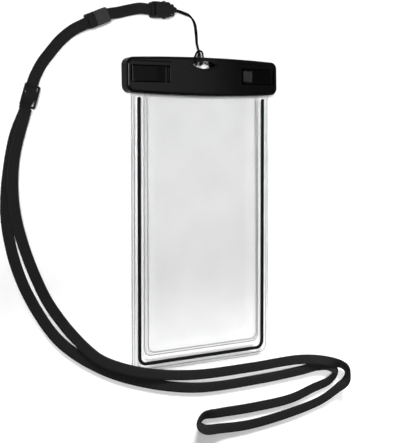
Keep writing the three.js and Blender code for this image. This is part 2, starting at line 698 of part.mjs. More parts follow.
const DOUBLED_ROUTE = [
  [-80.6, 119.6, 2.5, 0],
  [-84.2, 117.9, 2.0, 0],
  [-89.1, 115.2, 1.3, 0],
  [-96.7, 109.3, 1.0, 0],
  [-103.4, 102.0, 1.0, 0],
  [-109.6, 94.4, 1.0, 0],
  [-113.9, 86.9, 0.9, 0],
  ...sliderWeave(),
];

const UPPER_ROUTE = [
  [-36.9, 130.7, 2.5, 0],
  [-43.4, 131.0, 1.7, 0],
  [-50.9, 129.5, 1.2, 0],
  [-58.8, 127.5, 1.7, 0],
  [-66.0, 126.0, 2.5, 0],
];

const CORD_ROUTE = [
  [-18.2, 131.1, 2.5],
  [-15.0, 130.7, 1.9],
  [-11.4, 129.8, 1.2],
  [-7.4, 128.6, 0.7],
  [-4.8, 126.0, 0.7],
  [-3.3, 122.7, 0.7],
  [-2.4, 117.5, 0.8],
  [-2.4, 112.3, 1.8],
  [-3.0, 108.7, 4.2],
  [-3.8, 105.8, 7.2],
  [-4.6, 104.0, 9.4],
  [-5.4, 101.8, 10.7],
  [-6.0, 99.4, 10.7],
  [-6.1, 97.5, 10.1],
  [-5.9, 96.9, 8.4],
  [-5.3, 96.9, 5.8],
  [-4.6, 96.9, 3.2],
  [-3.9, 97.5, 1.3],
  [-3.3, 99.4, 0.9],
  [-3.4, 101.4, 0.9],
  [-3.9, 102.3, 1.4],
  [-4.4, 102.6, 2.8],
  [-5.3, 102.9, 4.6],
  [-6.3, 103.8, 7.0],
  [-6.3, 105.0, 8.9],
  [-4.8, 105.7, 9.9],
  [-2.5, 105.2, 8.9],
  [-1.3, 104.1, 7.0],
  [0.3, 102.9, 4.8],
  [1.7, 102.6, 2.9],
  [2.4, 102.3, 1.4],
  [2.8, 101.4, 0.9],
  [2.9, 99.6, 0.9],
];

function hitchCord() {
  const radius = CORD_DIAMETER / 2;
  const section = [];
  for (let i = 0; i < 8; i++) {
    const angle = (i / 8) * 2 * Math.PI;
    section.push(new THREE.Vector2(radius * Math.cos(angle), radius * Math.sin(angle)));
  }
  const points = CORD_ROUTE.map(([x, y, z]) => new THREE.Vector3(x, y, z));
  const route = new THREE.CatmullRomCurve3(points, false, "centripetal");
  const steps = 2 * points.length;
  return new THREE.ExtrudeGeometry(new THREE.Shape(section), { steps, bevelEnabled: false, extrudePath: route });
}

// Side-release buckle, along +X from its strap end to its tip, which is at the origin
function buckleSocket() {
  const mouth = -BUCKLE_SOCKET_LENGTH;
  const half = BUCKLE_SOCKET_WIDTH / 2;
  const tip = BUCKLE_TIP_WIDTH / 2;
  const neck = BUCKLE_NECK_WIDTH / 2;
  const taperStart = mouth + BUCKLE_MOUTH_DEPTH;
  const taperEnd = taperStart + BUCKLE_TAPER_LENGTH;
  const shape = new THREE.Shape();
  shape.moveTo(mouth, -half);
  shape.lineTo(taperStart, -half);
  shape.quadraticCurveTo(taperStart + 0.8, -half, taperEnd, -neck);
  shape.lineTo(-0.8, -tip);
  shape.quadraticCurveTo(0, -tip, 0, 0);
  shape.quadraticCurveTo(0, tip, -0.8, tip);
  shape.lineTo(taperEnd, neck);
  shape.quadraticCurveTo(taperStart + 0.8, half, taperStart, half);
  shape.lineTo(mouth, half);
  const inner = half - BUCKLE_WALL;
  const cavityZ = [BUCKLE_WALL, BUCKLE_THICKNESS - BUCKLE_WALL];
  let solid = prism(shape, 0, BUCKLE_THICKNESS);
  const earLow = (BUCKLE_THICKNESS - BUCKLE_EAR_THICKNESS) / 2;
  const earTop = earLow + BUCKLE_EAR_THICKNESS;
  for (const side of [-1, 1]) {
    const y = side * BUCKLE_EAR_Y;
    solid = solid.add(rodAlongZ(BUCKLE_EAR_X, y, BUCKLE_EAR_RADIUS, earLow, earTop));
    solid = solid.subtract(rodAlongZ(BUCKLE_EAR_X, y, BUCKLE_EAR_HOLE, -1, BUCKLE_THICKNESS + 1));
  }
  solid = solid.subtract(block([mouth - 1, mouth + BUCKLE_MOUTH_DEPTH - CLEARANCE], [-inner, inner], cavityZ));
  const [start, end] = BUCKLE_WINDOW;
  solid = solid.subtract(block([mouth + start, mouth + end], [-half - 1, half + 1], cavityZ));
  return toGeometry(solid);
}

function bucklePlug() {
  const mouth = -BUCKLE_SOCKET_LENGTH - CLEARANCE;
  const back = mouth - BUCKLE_BASE_LENGTH;
  const half = BUCKLE_BASE_WIDTH / 2;
  const z = [0, BUCKLE_THICKNESS];
  const base = roundedRectangle(BUCKLE_BASE_LENGTH / 2, half, 1, (mouth + back) / 2, 0, 3);
  let solid = prism(new THREE.Shape(base), ...z);
  const slot = [back + BUCKLE_WALL, back + BUCKLE_WALL + BUCKLE_SLOT];
  solid = solid.subtract(block(slot, [-STRAP_WIDTH / 2 - CLEARANCE, STRAP_WIDTH / 2 + CLEARANCE], [-1, BUCKLE_THICKNESS + 1]));
  const prongZ = [BUCKLE_WALL + CLEARANCE, BUCKLE_THICKNESS - BUCKLE_WALL - CLEARANCE];
  const [start, end] = BUCKLE_WINDOW;
  const buttonStart = mouth + start + 2 * CLEARANCE;
  const buttonEnd = mouth + end;
  const bulge = BUCKLE_BULGE_WIDTH / 2;
  const inner = BUCKLE_SOCKET_WIDTH / 2 - BUCKLE_WALL - CLEARANCE;
  for (const side of [-1, 1]) {
    const prong = new THREE.Shape();
    prong.moveTo(mouth - 1, side * (inner - 1.2));
    prong.lineTo(mouth - 1, side * inner);
    prong.lineTo(buttonStart, side * inner);
    prong.quadraticCurveTo(buttonStart + 0.6, side * bulge, (buttonStart + buttonEnd) / 2 + 0.4, side * bulge);
    prong.quadraticCurveTo(buttonEnd, side * bulge, buttonEnd, side * inner);
    prong.lineTo(buttonEnd, side * (inner - 1.2));
    solid = solid.add(prism(prong, ...prongZ));
  }
  solid = solid.add(block([mouth - 1, mouth + BUCKLE_MOUTH_DEPTH - 1], [-0.7, 0.7], prongZ));
  return toGeometry(solid);
}

// Breakaway clasp, along +X, centred on the origin
function claspCap() {
  const left = -CLASP_LENGTH / 2;
  const right = left + CLASP_CAP_LENGTH;
  const outline = roundedRectangle(CLASP_CAP_LENGTH / 2, CLASP_WIDTH / 2, 0.9, (left + right) / 2, 0, 3);
  let solid = bevelled(prism(new THREE.Shape(outline), 0, CLASP_THICKNESS), left, right);
  solid = solid.subtract(strapMouth([left - 1, left + 1.4]));
  const wall = CLASP_WALL + CLEARANCE;
  const tongueY = [-CLASP_WIDTH / 2 + wall + 0.6, CLASP_WIDTH / 2 - wall - 0.6];
  const tongue = block([right - 1, right + CLASP_TONGUE_LENGTH], tongueY, [wall, CLASP_THICKNESS - wall]);
  return toGeometry(solid.add(tongue));
}

function claspBody() {
  const left = -CLASP_LENGTH / 2 + CLASP_CAP_LENGTH + CLEARANCE;
  const right = CLASP_LENGTH / 2;
  const outline = roundedRectangle((right - left) / 2, CLASP_WIDTH / 2, 0.9, (left + right) / 2, 0, 3);
  let solid = bevelled(prism(new THREE.Shape(outline), 0, CLASP_THICKNESS), left, right);
  const half = CLASP_WIDTH / 2 - CLASP_WALL - 0.6;
  const lineX = left + CLASP_TONGUE_LENGTH + 1.4;
  const lineZ = [CLASP_THICKNESS - CLASP_LINE_DEPTH, CLASP_THICKNESS + 1];
  const lineY = half - CLASP_LINE_WIDTH;
  solid = solid.subtract(block([lineX, lineX + CLASP_LINE_WIDTH], [-half, half], lineZ));
  for (const side of [-1, 1]) {
    const ys = side > 0 ? [lineY, half] : [-half, -lineY];
    solid = solid.subtract(block([left + 1, lineX + CLASP_LINE_WIDTH], ys, lineZ));
  }
  const depth = CLASP_TONGUE_LENGTH + CLEARANCE;
  const cavityZ = [CLASP_WALL, CLASP_THICKNESS - CLASP_WALL];
  solid = solid.subtract(block([left - 1, left + depth], [-half, half], cavityZ));
  return toGeometry(solid.subtract(strapMouth([right - 1.4, right + 1])));
}

// Takes the two long top edges off a piece of the clasp
function bevelled(solid, left, right) {
  const corner = CLASP_WIDTH / 2;
  for (const side of [-1, 1]) {
    const wedge = new THREE.Shape();
    wedge.moveTo(side * corner, CLASP_THICKNESS - CLASP_BEVEL);
    wedge.lineTo(side * (corner - CLASP_BEVEL), CLASP_THICKNESS);
    wedge.lineTo(side * (corner + 1), CLASP_THICKNESS + 1);
    const geometry = new THREE.ExtrudeGeometry(wedge, { depth: right - left + 2, bevelEnabled: false });
    geometry.rotateX(Math.PI / 2).rotateZ(Math.PI / 2).translate(left - 1, 0, 0);
    solid = solid.subtract(toSolid(geometry));
  }
  return solid;
}

function strapMouth(xs) {
  const half = STRAP_WIDTH / 2 + CLEARANCE;
  const middle = CLASP_THICKNESS / 2;
  const rise = STRAP_THICKNESS / 2 + CLEARANCE;
  return block(xs, [-half, half], [middle - rise, middle + rise]);
}

// Strap slider: a frame with a middle bar
function strapSlider() {
  const outline = roundedRectangle(SLIDER_LENGTH / 2, SLIDER_WIDTH / 2, 1, 0, 0, 3);
  let solid = prism(new THREE.Shape(outline), 0, SLIDER_THICKNESS);
  const half = SLIDER_WIDTH / 2 - SLIDER_RAIL;
  const window = [SLIDER_MIDDLE_BAR / 2, SLIDER_LENGTH / 2 - SLIDER_END_BAR];
  for (const side of [-1, 1]) {
    const xs = side > 0 ? window : [-window[1], -window[0]];
    solid = solid.subtract(block(xs, [-half, half], [-1, SLIDER_THICKNESS + 1]));
  }
  return toGeometry(solid);
}

function placed(x, y, z, turn) {
  const holder = new THREE.Group();
  holder.position.set(x, y, z);
  holder.rotation.z = THREE.MathUtils.degToRad(turn);
  group.add(holder);
  return holder;
}

// The pouch
addMesh("front_film", filmSheet(frontUnderside), "clear");
addMesh("rear_film", filmSheet(rearUnderside), "clear");
addMesh("border_strip", borderStrip(), "strip");

// The clamp bar
addMesh("front_shell", frontShell(), "gloss");
addMesh("rear_shell", rearShell(), "gloss");
addMesh("front_seal_pad", sealPad(FRONT_LIP + PAD_THICKNESS, -1), "rubber");
addMesh("rear_seal_pad", sealPad(REAR_LIP - PAD_THICKNESS, 1), "rubber");
for (const [name, side] of [["left_lever", -1], ["right_lever", 1]]) {
  addMesh(name, lever(side), "gloss").position.set(side * LEVER_AXIS_X, LEVER_Y, LEVER_AXIS_Z);
}

// The lanyard
const buckle = placed(BUCKLE_X, BUCKLE_Y, 0, BUCKLE_TURN);
addMesh("buckle_socket", buckleSocket(), "matte", buckle);
addMesh("buckle_plug", bucklePlug(), "matte", buckle);
const clasp = placed(CLASP_X, CLASP_Y, 0, CLASP_TURN);
addMesh("clasp_cap", claspCap(), "matte", clasp);
addMesh("clasp_body", claspBody(), "greyish", clasp);
const slider = placed(SLIDER_X, SLIDER_Y, SLIDER_LIFT, SLIDER_TURN);
addMesh("strap_slider", strapSlider(), "matte", slider);
addMesh("hitch_cord", hitchCord(), "cloth");
addMesh("upper_strap", webbing(UPPER_ROUTE, 3), "cloth");
addMesh("doubled_strap", webbing(DOUBLED_ROUTE), "cloth");
addMesh("neck_strap", webbing(NECK_ROUTE, 3), "cloth");

export default group;
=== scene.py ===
# Waterproof phone pouch: its looks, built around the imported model. Metres, +Z up.
import math

import bpy
from mathutils import Matrix, Vector, noise


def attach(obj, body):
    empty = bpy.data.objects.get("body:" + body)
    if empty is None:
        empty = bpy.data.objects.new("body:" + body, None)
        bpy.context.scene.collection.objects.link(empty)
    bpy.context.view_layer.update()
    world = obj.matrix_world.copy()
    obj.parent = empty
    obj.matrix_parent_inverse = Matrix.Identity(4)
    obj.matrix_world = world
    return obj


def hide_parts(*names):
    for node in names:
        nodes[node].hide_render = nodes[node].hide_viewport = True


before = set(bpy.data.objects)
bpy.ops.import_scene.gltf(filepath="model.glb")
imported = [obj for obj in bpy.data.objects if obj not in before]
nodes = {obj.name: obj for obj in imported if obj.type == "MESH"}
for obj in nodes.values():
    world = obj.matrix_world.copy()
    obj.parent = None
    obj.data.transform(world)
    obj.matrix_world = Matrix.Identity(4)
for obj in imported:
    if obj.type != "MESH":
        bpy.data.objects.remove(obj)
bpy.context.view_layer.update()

MM = 0.001

# Camera, as the photograph was taken
CAMERA_PLACE = Vector((-318.24, 45.43, 529.21)) * MM
CAMERA_TARGET = Vector((-0.25, -5.9, 0)) * MM
CAMERA_ROLL = math.radians(-0.6805)
CAMERA_SENSOR = 36
CAMERA_LENS = 83.7
CAMERA_NEAREST = 0.02
CAMERA_FURTHEST = 30

# Pouch, in millimetres, the sizes that its solids have
POUCH_LENGTH = 203
FILM = 0.5
FILM_GAP = 0.3
FILM_HALF_WIDTH_MOUTH = 52.4
FILM_HALF_WIDTH_BOTTOM = 53.3
FILM_CORNER = 4.7
FILM_TOP = 87.9
FILM_EXIT = 76.1
FILM_BOTTOM = -POUCH_LENGTH / 2
MARGIN_AT_EXIT = 3.95
WELD_WIDTH = 8.6
POCKET_SLOPE = 7
POCKET_TOP = 7.6
MOUTH_SLOPE = 22
STRIP_WIDTH = 2.2
STRIP_HEIGHT = 0.9
STRIP_INSET = 5.3
STRIP_TOP_GAP = 1.6

# Finer forms of the film and the strip, in millimetres
BOTTOM_EXTRA = 1.6  # the weld is wider along the bottom
WELD_BEADS = [  # inset from the film's edge, width, height
    (0.15, 0.35, 0.16),
    (1.9, 0.45, 0.14),
    (8.8, 0.5, 0.18),
    (10.9, 0.45, 0.14),
]
SEAT = 0.02  # how far the beads sink into the film, and how far the strip lies over it
STRIP_EDGE = 0.35
STRIP_PROFILE = [  # inset from the strip's side, height
    (0, 0),
    (0, STRIP_HEIGHT - STRIP_EDGE),
    (STRIP_EDGE * 0.3, STRIP_HEIGHT - STRIP_EDGE * 0.3),
    (STRIP_EDGE, STRIP_HEIGHT),
]
CAP_OVERLAP = 0.05
RIPPLE_HEIGHT = 0.35
BROAD_RIPPLE = (0.045, 0.03, 2)  # waves in a millimetre along x and y, and the layer of the noise
FINE_RIPPLE = (0.12, 0.1, 7)
FINE_RIPPLE_SHARE = 0.4

# Straps and cord, in millimetres
STRAP_WIDTH = 7
STRAP_THICKNESS = 1.2
SINGLE_LAYER = [(0, STRAP_THICKNESS)]  # height above the strap's middle, thickness
TWO_LAYERS = [(0.31, 0.58), (-0.31, 0.58)]
STRAND_DIAMETER = 1.2

# Steps of the meshes, in millimetres, and their counts
STRAP_STEP = 1.0
STRAP_EDGE_STEPS = 4
STRAP_FLAT_SHARES = (0.6, 0.2, -0.2, -0.6)
STRAND_STEP = 0.5
STRAND_SIDES = 10
EDGE_BAND, EDGE_STEP = 2.4, 0.6
SLOPE_START, SLOPE_STEP = 3.5, 0.7
MIDDLE_INSET, MIDDLE_STEP = 2, 2.4
LOW_BAND, LOW_STEP = 20, 0.6
MOUTH_LEAD, ROW_STEP = 4, 2
CORNER_STEPS = 8
BEAD_STEP, BEAD_SIDES = 2.0, 6
STRIP_STEP, CAP_STEPS = 1.5, 10

# Routes of the middle lines: x, y and z in millimetres, and on straps the roll in degrees
NECK_ROUTE = [
    (-120.5, 67.8, 0.7, 0),
    (-128.2, 49.4, 0.7, 0),
    (-134.0, 15.7, 0.7, 0),
    (-134.0, 0.0, 0.7, 0),
    (-130.1, -22.0, 0.7, 0),
    (-121.3, -45.3, 0.7, 0),
    (-102.7, -74.2, 0.7, 0),
    (-77.1, -94.0, 0.7, 0),
    (-47.4, -107.4, 0.7, 0),
    (-5.5, -117.7, 0.7, 0),
    (46.9, -119.2, 0.7, 0),
    (82.3, -118.0, 0.8, 0),
    (98.2, -116.7, 1.0, -4),
    (108.6, -118.2, 1.4, -12),
    (113.7, -123.0, 1.9, -20),
    (109.0, -128.4, 1.4, -12),
    (93.4, -132.5, 0.9, -3),
    (73.9, -137.2, 0.7, 0),
    (38.3, -138.5, 0.7, 0),
    (11.9, -137.8, 1.1, -8),
    (-0.9, -137.7, 2.2, -26),
    (-4.8, -142.3, 2.9, -37),
    (0.0, -146.9, 2.2, -26),
    (13.0, -148.8, 1.1, -8),
    (38.1, -150.3, 0.7, 0),
    (73.7, -147.4, 0.7, 0),
    (101.5, -142.3, 0.9, 2),
    (117.0, -135.1, 1.6, -14),
    (121.9, -131.2, 3.4, -58),
    (123.7, -125.4, 4.0, -95),
    (121.0, -119.8, 3.6, -58),
    (104.1, -113.4, 2.6, 6),
    (82.0, -109.7, 1.6, 2),
    (38.5, -109.9, 0.7, 0),
    (-8.9, -108.5, 0.9, 0),
    (-48.1, -101.0, 2.6, 0),
    (-74.8, -90.0, 2.2, 0),
    (-85.9, -80.6, 2.0, 0),
    (-93.8, -71.8, 1.6, 0),
    (-100.9, -62.6, 1.0, 0),
    (-111.0, -46.6, 0.7, 0),
    (-123.9, -14.7, 1.1, 0),
    (-129.8, 10.8, 2.2, 0),
    (-129.0, 37.4, 2.2, 0),
    (-120.5, 67.8, 2.2, 0),
]

# Slider, and the strap's way through it: distance along it from its middle, sideways, height
SLIDER_PLACE = (-118.1, 75.1)
SLIDER_TURN = math.radians(72)
SLIDER_WEAVE = [
    (7.2, 0.0, 0.85),
    (5.6, 0.0, 0.9),
    (4.6, 0.0, 1.45),
    (3.35, 0.1, 2.55),
    (2.1, 0.2, 3.65),
    (1.1, 0.3, 4.25),
    (0.0, 0.4, 4.4),
    (-1.1, 0.5, 4.25),
    (-2.1, 0.5, 3.65),
    (-3.35, 0.6, 2.55),
    (-4.6, 0.6, 1.45),
    (-5.6, 0.6, 0.9),
    (-8.4, 0.4, 0.85),
]


def slider_weave():
    cos, sin = math.cos(SLIDER_TURN), math.sin(SLIDER_TURN)
    x, y = SLIDER_PLACE
    rows = []
    for along, aside, z in SLIDER_WEAVE:
        rows.append((x + along * cos - aside * sin, y + along * sin + aside * cos, z, 0))
    return rows


DOUBLED_ROUTE = [
    (-77.6, 121.0, 2.5, 0),
    (-80.6, 119.6, 2.5, 0),
    (-84.2, 117.9, 2.0, 0),
    (-89.1, 115.2, 1.3, 0),
    (-96.7, 109.3, 1.0, 0),
    (-103.4, 102.0, 1.0, 0),
    (-109.6, 94.4, 1.0, 0),
    (-113.9, 86.9, 0.9, 0),
    *slider_weave(),
]

UPPER_ROUTE = [
    (-32.4, 130.8, 2.5, 0),
    (-36.9, 130.7, 2.5, 0),
    (-43.4, 131.0, 1.7, 0),
    (-50.9, 129.5, 1.2, 0),
    (-58.8, 127.5, 1.7, 0),
    (-66.0, 126.0, 2.5, 0),
    (-70.9, 124.1, 2.5, 0),
]

# One strand, doubled: from the buckle to the bar, round it in a hitch and back
STRAND_ROUTE = [
    (-18.8, 131.5, 2.5),
    (-15.0, 131.1, 1.9),
    (-11.3, 130.3, 1.2),
    (-7.2, 129.1, 0.7),
    (-4.5, 126.3, 0.7),
    (-3.1, 122.8, 0.7),
    (-2.4, 117.5, 0.8),
    (-2.4, 113.5, 1.4),
    (-2.8, 110.6, 2.6),
    (-3.9, 106.6, 6.2),
    (-5.4, 103.4, 9.2),
    (-6.5, 101.2, 10.2),
    (-7.0, 99.4, 10.4),
    (-7.4, 97.7, 10.3),
    (-7.1, 96.9, 9.2),
    (-5.0, 96.9, 5.6),
    (-3.1, 97.1, 2.4),
    (-2.7, 98.2, 0.9),
    (-3.0, 100.3, 0.8),
    (-3.5, 102.2, 1.3),
    (-4.3, 102.5, 3.3),
    (-5.4, 102.9, 5.4),
    (-6.1, 103.8, 7.6),
    (-5.9, 104.9, 9.0),
    (-4.8, 105.4, 9.6),
    (-3.1, 105.1, 9.0),
    (-1.4, 104.2, 7.6),
    (0.1, 103.1, 5.4),
    (1.7, 102.5, 3.3),
    (2.7, 102.2, 1.3),
    (3.1, 100.3, 0.8),
    (2.2, 98.4, 0.9),
    (0.0, 97.2, 2.4),
    (-2.2, 96.9, 5.6),
    (-4.5, 96.9, 9.2),
    (-4.8, 97.7, 10.3),
    (-5.1, 99.4, 10.4),
    (-4.9, 101.2, 10.2),
    (-4.4, 103.4, 9.2),
    (-3.4, 106.6, 6.0),
    (-2.2, 110.6, 2.4),
    (-1.7, 113.5, 1.4),
    (-1.6, 117.5, 0.8),
    (-2.3, 122.6, 0.7),
    (-3.7, 125.7, 0.7),
    (-6.6, 128.2, 0.7),
    (-11.0, 129.4, 1.2),
    (-15.0, 130.3, 1.9),
    (-18.8, 130.8, 2.5),
]

# Colours: the darkest and the lightest shade of what varies, one shade of what does not
JET = (0.001, 0.001, 0.0011), (0.0018, 0.0018, 0.0019)
MOULDED_BLACK = (0.004, 0.004, 0.0042), (0.009, 0.009, 0.0094)
MOULDED_GREY = (0.024, 0.024, 0.025), (0.036, 0.036, 0.037)
RUBBER_GREY = (0.08, 0.085, 0.09), (0.1, 0.105, 0.11)
# weave: painted shade in the grooves between ribs, lighter crests, and a random fibre tone
WEAVE_BLACK_AND_RIB_SHADE = (0.0025, 0.0025, 0.0027), (0.02, 0.02, 0.0206)
# strand: painted shade in the grooves of the lay, lighter on its crests
STRAND_BLACK_AND_LAY_SHADE = (0.001, 0.001, 0.001), (0.006, 0.006, 0.006)
STRIP_BLACK = (0.003, 0.003, 0.0034), (0.007, 0.007, 0.0074)
FILM_TINT = (0.3, 0.305, 0.31)
FLOOR_SHADE = (0.9, 0.9, 0.9)
WHITE = (1, 1, 1, 1)

# Haze of each film: distance from its edge in millimetres, opacity. On the front film the darker band from
# 9.1 to 10.6 is painted shade where the pocket's edge slopes up.
HAZE_SPAN = 20
FRONT_HAZE_AND_SLOPE_SHADE = [
    (0, 0.14),
    (0.4, 0.05),
    (1.6, 0.02),
    (1.9, 0.06),
    (2.2, 0.02),
    (8.6, 0.025),
    (8.8, 0.05),
    # painted shade: a darker band where the pocket's edge slopes up
    (9.1, 0.12),
    (10.6, 0.12),
    (10.9, 0.05),
    (11.2, 0.072),
    (HAZE_SPAN, 0.072),
]
REAR_HAZE = [(0, 0.08), (0.4, 0.02), (8.4, 0.02), (HAZE_SPAN, 0.055)]

# Woven webbing and twisted strand, in millimetres
RIB = 1.0
COLUMN = 0.7
LAY_ALONG, LAY_ACROSS = 9.0, 6.0  # how the strand's lay turns, in radians to the millimetre

# Studio
CAMERA_WHITE = 1.0
SKY_LIGHT = 0.2
FLOOR_HALF = 4000  # millimetres
FLOOR_DROP = 0.02
FLOOR_GLOW_NEAR = (0.15, 0.13)  # distance from the middle in metres, strength
FLOOR_GLOW_FAR = (0.26, 0.84)

# Lamps: place, target, width and height in metres, power in watts, spread in degrees
LAMPS = {
    "front": ((-0.426, 0.16, 0.78), (0.019, 0.056, 0), (0.318, 0.47), 0.468, 16),
    "low": ((0.06, 0.055, 0.065), (0.06, -0.2, 0), (0.56, 0.03), 0.385, 31),
    "sheen": ((0.537, 0.2, 1.1), (0, 0.09, 0.01), (0.3, 0.265), 0.042, 30),
    "side": ((-1.1, 0.1, 1.15), (-0.06, 0.095, 0.01), (0.3, 0.3), 0.6, 20),
    "glint": ((0.393, 0.203, 1.1), (0.037, 0.096, 0.01), (0.09, 0.045), 0.025, 30),
    "fill": ((1.055, 0.2, 1.1), (-0.033, 0.096, 0.01), (0.3, 0.15), 0.014, 30),
}
LAMPS_WITHOUT_GLOSS = {"low"}
LAMPS_FOR_GLOSS_ONLY = {"side", "glint", "fill"}


def add_camera():
    data = bpy.data.cameras.new("camera")
    data.sensor_fit = "HORIZONTAL"
    data.sensor_width = CAMERA_SENSOR
    data.lens = CAMERA_LENS
    data.clip_start = CAMERA_NEAREST
    data.clip_end = CAMERA_FURTHEST
    forward = (CAMERA_TARGET - CAMERA_PLACE).normalized()
    level = forward.cross(Vector((0, 1, 0))).normalized()
    upright = level.cross(forward)
    cos, sin = math.cos(CAMERA_ROLL), math.sin(CAMERA_ROLL)
    right = cos * level + sin * upright
    up = cos * upright - sin * level
    camera = bpy.data.objects.new("camera", data)
    bpy.context.scene.collection.objects.link(camera)
    matrix = Matrix((right, up, -forward)).transposed().to_4x4()
    matrix.translation = CAMERA_PLACE
    camera.matrix_world = matrix
    bpy.context.scene.camera = camera


add_camera()


# Meshes
def mesh_object(name, points, faces, uvs=None):
    """points in millimetres; uvs holds one pair for each point."""
    mesh = bpy.data.meshes.new(name)
    mesh.from_pydata([Vector(p) * MM for p in points], [], faces)
    mesh.validate()
    if uvs:
        layer = mesh.uv_layers.new(name="surface")
        for loop in mesh.loops:
            layer.data[loop.index].uv = uvs[loop.vertex_index]
    mesh.polygons.foreach_set("use_smooth", [True] * len(mesh.polygons))
    mesh.update()
    piece = bpy.data.objects.new(name, mesh)
    bpy.context.scene.collection.objects.link(piece)
    return piece


def joined(parts):
    """Puts the (points, faces, uvs) of several closed surfaces together."""
    points, faces, uvs = [], [], []
    for part_points, part_faces, part_uvs in parts:
        start = len(points)
        points += part_points
        uvs += part_uvs
        faces += [[start + i for i in face] for face in part_faces]
    return points, faces, uvs


def spline(route, step):
    """Centripetal Catmull-Rom through the route's points, as in the solids. Gives rows of 3 or 4 numbers."""
    first = [2 * a - b for a, b in zip(route[0], route[1])]
    last = [2 * a - b for a, b in zip(route[-1], route[-2])]
    knots = [first, *[list(p) for p in route], last]
    rows = []
    for i in range(1, len(knots) - 2):
        p0, p1, p2, p3 = knots[i - 1 : i + 3]
        pairs = ((p0, p1), (p1, p2), (p2, p3))
        d0, d1, d2 = (math.sqrt(math.dist(a[:3], b[:3])) for a, b in pairs)
        count = max(1, round(math.dist(p1[:3], p2[:3]) / step))
        for k in range(count):
            t = k / count
            row = []
            for x0, x1, x2, x3 in zip(p0, p1, p2, p3):
                start = ((x1 - x0) / d0 - (x2 - x0) / (d0 + d1) + (x2 - x1) / d1) * d1
                end = ((x2 - x1) / d1 - (x3 - x1) / (d1 + d2) + (x3 - x2) / d2) * d1
                square = -3 * x1 + 3 * x2 - 2 * start - end
                cube = 2 * x1 - 2 * x2 + start + end
                row.append(x1 + start * t + square * t**2 + cube * t**3)
            rows.append(row)
    rows.append(list(route[-1]))
    return rows


def tangents(centres):
    ends = [centres[0], *centres, centres[-1]]
    return [(ends[i + 2] - ends[i]).normalized() for i in range(len(centres))]


def swept(centres, sides, ups, section):
    """Sweeps the section's (side, up) pairs along the centres. u runs along it, v across, in millimetres."""
    points, faces, uvs = [], [], []
    count = len(section)
    along = 0
    for i, (centre, side, up) in enumerate(zip(centres, sides, ups)):
        if i:
            along += (centre - centres[i - 1]).length
        for s, u in section:
            points.append(centre + side * s + up * u)
            uvs.append((along, s))
    for i in range(len(centres) - 1):
        for k in range(count):
            a = i * count + k
            b = i * count + (k + 1) % count
            faces.append([a, b, b + count, a + count])
    last = (len(centres) - 1) * count
    faces.append([count - 1 - k for k in range(count)])
    faces.append([last + k for k in range(count)])
    return points, faces, uvs


def strap_section(thickness):
    """A flat strip with round edges, once round from the middle of one edge."""
    radius = thickness / 2
    flat = STRAP_WIDTH / 2 - radius
    section = []
    for sign, start in ((1, -90), (-1, 90)):
        for k in range(STRAP_EDGE_STEPS + 1):
            angle = math.radians(start + 180 * k / STRAP_EDGE_STEPS)
            section.append((sign * flat + radius * math.cos(angle), radius * math.sin(angle)))
        section += [(sign * flat * share, sign * radius) for share in STRAP_FLAT_SHARES]
    return section


def webbing(route, layers):
    """A strap along a route of (x, y, z, roll)."""
    rows = spline(route, STRAP_STEP)
    centres = [Vector(row[:3]) for row in rows]
    sides, ups = [], []
    for tangent, row in zip(tangents(centres), rows):
        side = Vector((0, 0, 1)).cross(tangent).normalized()
        side = Matrix.Rotation(math.radians(row[3]), 3, tangent) @ side
        sides.append(side)
        ups.append(tangent.cross(side))
    parts = []
    for height, thickness in layers:
        shifted = [centre + up * height for centre, up in zip(centres, ups)]
        parts.append(swept(shifted, sides, ups, strap_section(thickness)))
    return joined(parts), [centre * MM for centre in centres]


def round_cord(route):
    """The strand along a route of (x, y, z), its section carried along without a twist."""
    centres = [Vector(row) for row in spline(route, STRAND_STEP)]
    directions = tangents(centres)
    side = directions[0].orthogonal().normalized()
    sides, ups = [], []
    for direction in directions:
        side = (side - direction * side.dot(direction)).normalized()
        sides.append(side.copy())
        ups.append(direction.cross(side))
    radius = STRAND_DIAMETER / 2
    angles = [2 * math.pi * k / STRAND_SIDES for k in range(STRAND_SIDES)]
    section = [(radius * math.cos(a), radius * math.sin(a)) for a in angles]
    return swept(centres, sides, ups, section), [centre * MM for centre in centres]


# Materials
def new_material(name, colour, roughness, specular):
    material = bpy.data.materials.new(name)
    material.use_nodes = True
    tree = material.node_tree
    shader = tree.nodes["Principled BSDF"]
    shader.inputs["Base Color"].default_value = (*colour, 1)
    shader.inputs["Roughness"].default_value = roughness
    shader.inputs["Specular IOR Level"].default_value = specular
    return material, tree, shader


def add_node(tree, kind, values=None, **settings):
    made = tree.nodes.new(kind)
    for key, value in settings.items():
        setattr(made, key, value)
    for key, value in (values or {}).items():
        made.inputs[key].default_value = value
    return made


def maths(tree, operation, first, second=None):
    made = add_node(tree, "ShaderNodeMath", operation=operation)
    for socket, value in zip(made.inputs, (first, second)):
        if value is None:
            continue
        if isinstance(value, (int, float)):
            socket.default_value = value
        else:
            tree.links.new(value, socket)
    return made.outputs[0]


def ramp(tree, source, stops):
    made = add_node(tree, "ShaderNodeValToRGB")
    elements = made.color_ramp.elements
    for index, (place, shade) in enumerate(stops):
        element = elements[index] if index < 2 else elements.new(place)
        element.position = place
        element.color = (shade, shade, shade, 1)
    tree.links.new(source, made.inputs["Fac"])
    return made.outputs["Color"]


def coloured(tree, shader, factor, shades):
    made = add_node(tree, "ShaderNodeMix", data_type="RGBA")
    tree.links.new(factor, made.inputs["Factor"])
    for socket, shade in zip(("A", "B"), shades):
        made.inputs[socket].default_value = (*shade, 1)
    tree.links.new(made.outputs["Result"], shader.inputs["Base Color"])


def bumped(tree, shader, height, strength, distance, edge=0):
    bump = add_node(tree, "ShaderNodeBump", {"Strength": strength, "Distance": distance})
    tree.links.new(height, bump.inputs["Height"])
    if edge:
        bevel = add_node(tree, "ShaderNodeBevel", {"Radius": edge}, samples=6)
        tree.links.new(bevel.outputs["Normal"], bump.inputs["Normal"])
    tree.links.new(bump.outputs["Normal"], shader.inputs["Normal"])


